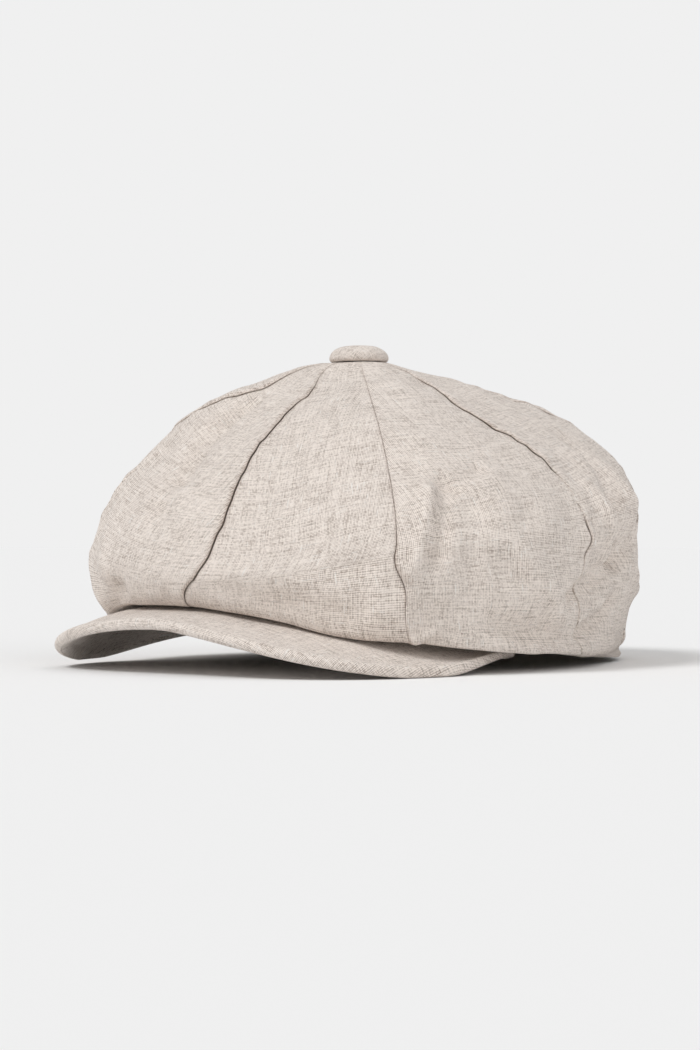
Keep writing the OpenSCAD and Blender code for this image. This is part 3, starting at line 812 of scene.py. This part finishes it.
def brimGrid():
    # the brim's middle surface as a grid, its normals, and the direction outwards at its edge
    s = brimShape
    u = np.linspace(-1, 1, s["columns"])
    u = u - s["crowding"] * np.sin(2 * np.pi * u)          # more columns in the middle and at the ends
    w = np.linspace(0, 1, s["rows"])
    uu, ww = np.meshgrid(u, w)
    middle = brimMiddle(uu, ww)
    du = np.gradient(middle, axis=1)
    dw = np.gradient(middle, axis=0)
    n = np.cross(du, dw)
    n *= np.sign(n[..., 2:])
    n /= np.linalg.norm(n, axis=-1, keepdims=True)
    outward = middle[-1] - middle[-2]
    outward /= np.linalg.norm(outward, axis=-1, keepdims=True)
    return uu, ww, middle, n, outward


uu, ww, brimMid, brimNormal, brimOut = brimGrid()
edgeDistance = np.linalg.norm(brimMid - brimMid[-1:], axis=-1)


def brimCover(side, name, node, lastTurn, snug):
    # over one face of the board, then round its edge; the top cover's edge laps over the other's
    s = brimShape
    texture = smoothNoise(brimMid, 17 * mm, 71 + side) * 0.3 * mm
    texture = texture + smoothNoise(brimMid, 6 * mm, 73) * 0.1 * mm
    ridge = s["ridgeRise"] / (1 + np.exp((edgeDistance - s["ridgeIn"]) / (0.45 * mm)))
    groove = -0.25 * mm * bell(edgeDistance - s["ridgeIn"] - 0.9 * mm, 0.8 * mm)
    height = s["skin"] + texture * np.clip(edgeDistance / (4 * mm), 0.2, 1) + ridge + groove
    height = height * (1 - (1 - s["endTaper"]) * np.clip((np.abs(uu) - 0.84) / 0.16, 0, 1))
    face = brimMid + side * brimNormal * height[..., None]
    turns = np.radians(np.linspace(90, lastTurn, 14))[1:, None, None]
    shrink = snug ** np.linspace(0, 1, 14)[1:, None, None]
    rim = (brimOut * np.cos(turns) + side * brimNormal[-1] * np.sin(turns)) * height[-1][:, None]
    rim = brimMid[-1] + rim * shrink
    points = np.concatenate([face, rim], 0)
    points[..., 2] = np.maximum(points[..., 2], 0.15 * mm)
    if side < 0:
        points = points[:, ::-1]
    # the cloth lies flat on the face and runs on outwards over the rim
    steps = np.linalg.norm(np.diff(points, axis=0), axis=-1)
    run = (np.cumsum(steps, 0)[len(face) - 1:] - steps[:len(face) - 1].sum(0))[..., None]
    heading = brimOut[::side]
    edgeSpot = points[len(face) - 1, :, :2]
    flatSpot = np.concatenate([points[:len(face), :, :2], edgeSpot + heading[:, :2] * run], 0)
    uv = flatSpot * [1, -1] + [2, 1 + side]
    cover = gridMesh(name, points, uv, wall=s["wall"], material=linenCloth)
    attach(cover, "brim")
    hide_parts(node)
    crossing = np.linalg.norm(np.diff(points, axis=1), axis=-1)


brimCover(1, "brim_linen_top", "brim_top_cover", -72, 1.0)
brimCover(-1, "brim_linen_under", "brim_under_cover", 12, 0.72)
paintNode("brim_board", mouldedBoard)


def brimJoinStrip(side, name):
    # the covers' seam allowance, from the brim's inner edge back to the hem
    s = brimShape
    u = uu[:1] * np.ones((10, 1))
    share = np.linspace(0, 1, 10)[:, None]
    a = u * math.radians(s["clothEnd"])
    start = (brimMid[0] + side * brimNormal[0] * s["skin"])[None]
    end = hemPoint(a, 0.4 * mm, -0.5 * mm + side * 0.5 * mm)
    points = start + (end - start) * share[..., None]
    if side > 0:
        points = points[:, ::-1]
    uv = np.stack([points[..., 0] + 4, points[..., 1] + side], -1)
    obj = gridMesh(name, points, uv, wall=0.6 * mm, material=linenCloth)
    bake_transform(obj)


brimJoinStrip(1, "brim_join_top")
brimJoinStrip(-1, "brim_join_under")
print("brim ready")

buttonLook = {
    "radius": 12.7 * mm, "height": 7 * mm, "rim": 8 * mm, "lip": 1.6 * mm,
    "pleats": 16, "pleatDepth": 0.45 * mm, "turnIn": 9 * mm, "cut": 38 * mm,
}


def buttonLinen():
    # a dome profile carried round the axis, with pleats where the linen is gathered below its rim
    look = buttonLook
    base = crownTop + 0.4 * mm
    flatTop = np.linspace(0, look["radius"] - look["rim"], 12)
    cap = np.stack([flatTop, np.full(12, look["height"])], -1)
    quarter = np.radians(np.linspace(90, 0, 18))[1:]
    bulge = np.stack([look["radius"] - look["rim"] + look["rim"] * np.cos(quarter),
                      look["lip"] + (look["height"] - look["lip"]) * np.sin(quarter)], -1)
    lip = np.radians(np.linspace(0, -90, 8))[1:]
    lipStart = look["radius"] - look["lip"]
    under = np.stack([lipStart + look["lip"] * np.cos(lip), look["lip"] + look["lip"] * np.sin(lip)], -1)
    inwards = np.stack([np.linspace(lipStart, look["turnIn"], 6)[1:], np.full(5, 0.05 * mm)], -1)
    profile = np.concatenate([cap, bulge, under, inwards])
    profile[0, 0] = 0.05 * mm
    turn = np.linspace(0, 2 * np.pi, 96, endpoint=False)
    low = np.clip((2.6 * mm - profile[:, 1]) / (2.6 * mm), 0, 1)[:, None]
    pleat = (np.cos(look["pleats"] * turn + 1.5 * np.sin(3 * turn)) * 0.5 + 0.5) ** 2
    r = profile[:, :1] - low * pleat * look["pleatDepth"]
    z = profile[:, 1:] + base + 0 * turn
    points = np.stack([r * np.sin(turn), buttonY - r * np.cos(turn), z], -1)
    lump = smoothNoise(points, 5 * mm, 81) * 0.12 * mm
    points[..., 2] += lump * (points[..., 2] > base + 1 * mm)
    path = runAlong(profile)[:, None]
    uv = np.stack([path * np.sin(turn) + 6, path * np.cos(turn)], -1)
    obj = gridMesh("button_linen", points[:, ::-1], uv[:, ::-1], closed=True, material=linenCloth)
    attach(obj, "top_button")
    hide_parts("button_cover")


buttonLinen()
for node in ("button_shell", "button_back", "button_tack", "button_washer"):
    paintNode(node, platedSteel)


def patchCloth():
    # the cotton patch under the top: the CAD disc keeps its bore, so only its cloth is new
    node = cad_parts["peak_patch"]
    loops = np.zeros(len(node.data.loops), int)
    node.data.loops.foreach_get("vertex_index", loops)
    spots = np.zeros(len(node.data.vertices) * 3)
    node.data.vertices.foreach_get("co", spots)
    spots = spots.reshape(-1, 3)[loops]
    layer = node.data.uv_layers.get("cloth") or node.data.uv_layers.new(name="cloth")
    layer.data.foreach_set("uv", spots[:, :2].astype(np.float32).ravel())
    paintNode("peak_patch", liningCotton)


patchCloth()
print("button ready")

studio = {
    "camera": 38, "distance": 1.0, "height": 0.050, "lens": 80.2,
    "aimAcross": -3.85 * mm, "aimHeight": 59 * mm,
    "dome": 0.52, "backTone": 0.871, "floorTone": 0.913, "floorBounce": 0.95, "floorSize": 60.0,
    # turn from the camera towards the right, rise, apparent width in degrees, strength
    "suns": {"key": (-50, 50, 22, 1.42), "fill": (50, 32, 60, 0.50)},
}


def floorShader(shader):
    # pale where it is seen, and a little paler in the light it throws back under the cap
    tones = [shader.node("ShaderNodeBsdfDiffuse", None, {"Color": (tone, tone, tone)})
             for tone in (studio["floorBounce"], studio["floorTone"])]
    seen = shader.node("ShaderNodeLightPath")
    return shader.node("ShaderNodeMixShader", None, {0: seen, 1: tones[0], 2: tones[1]})


def buildStudio():
    # a flat pale floor, an even sky, two broad suns and the camera
    scene = bpy.context.scene
    mesh = bpy.data.meshes.new("floor")
    size = studio["floorSize"]
    corners = [(-size, -size, 0), (size, -size, 0), (size, size, 0), (-size, size, 0)]
    mesh.from_pydata(corners, [], [(0, 1, 2, 3)])
    floor = bpy.data.objects.new("floor", mesh)
    scene.collection.objects.link(floor)
    floorPaint = newMaterial("pale_floor", floorShader)
    mesh.materials.append(floorPaint)
    world = bpy.data.worlds.new("studio")
    scene.world = world
    world.use_nodes = True
    world.node_tree.nodes.clear()
    shader = Socket(world.node_tree)
    # the light from all round is dimmer than the pale tone seen behind the cap
    allRound = shader.node("ShaderNodeBackground", None, {0: (1, 1, 1), 1: studio["dome"]})
    behind = shader.node("ShaderNodeBackground", None, {0: (1, 1, 1), 1: studio["backTone"]})
    seen = shader.node("ShaderNodeLightPath")
    mixed = shader.node("ShaderNodeMixShader", None, {0: seen, 1: allRound, 2: behind})
    shader.node("ShaderNodeOutputWorld", None, {"Surface": mixed})
    for name, (turn, rise, width, power) in studio["suns"].items():
        lamp = bpy.data.lights.new(name, "SUN")
        lamp.energy, lamp.angle = power, math.radians(width)
        light = bpy.data.objects.new(name, lamp)
        a, e = math.radians(studio["camera"] + turn), math.radians(rise)
        towards = np.array([math.sin(a) * math.cos(e), -math.cos(a) * math.cos(e), math.sin(e)])
        light.rotation_euler = aim(-towards)
        scene.collection.objects.link(light)
    az = math.radians(studio["camera"])
    axis = np.array([0, buttonY, 0])
    back = np.array([math.sin(az), -math.cos(az), 0])
    right = np.array([math.cos(az), math.sin(az), 0])
    place = axis + back * studio["distance"] + [0, 0, studio["height"]]
    target = axis + right * studio["aimAcross"] + [0, 0, studio["aimHeight"]]
    lens = bpy.data.cameras.new("camera")
    lens.lens, lens.sensor_width = studio["lens"], 36
    camera = bpy.data.objects.new("camera", lens)
    camera.location = place
    camera.rotation_euler = aim(target - place)
    scene.collection.objects.link(camera)
    scene.camera = camera
    scene.view_settings.view_transform = "Standard"


def aim(direction):
    # turns the object's -Z to the direction, with its Y up
    x, y, z = direction / np.linalg.norm(direction)
    return (math.acos(-z), 0, math.atan2(-x, y))


buildStudio()
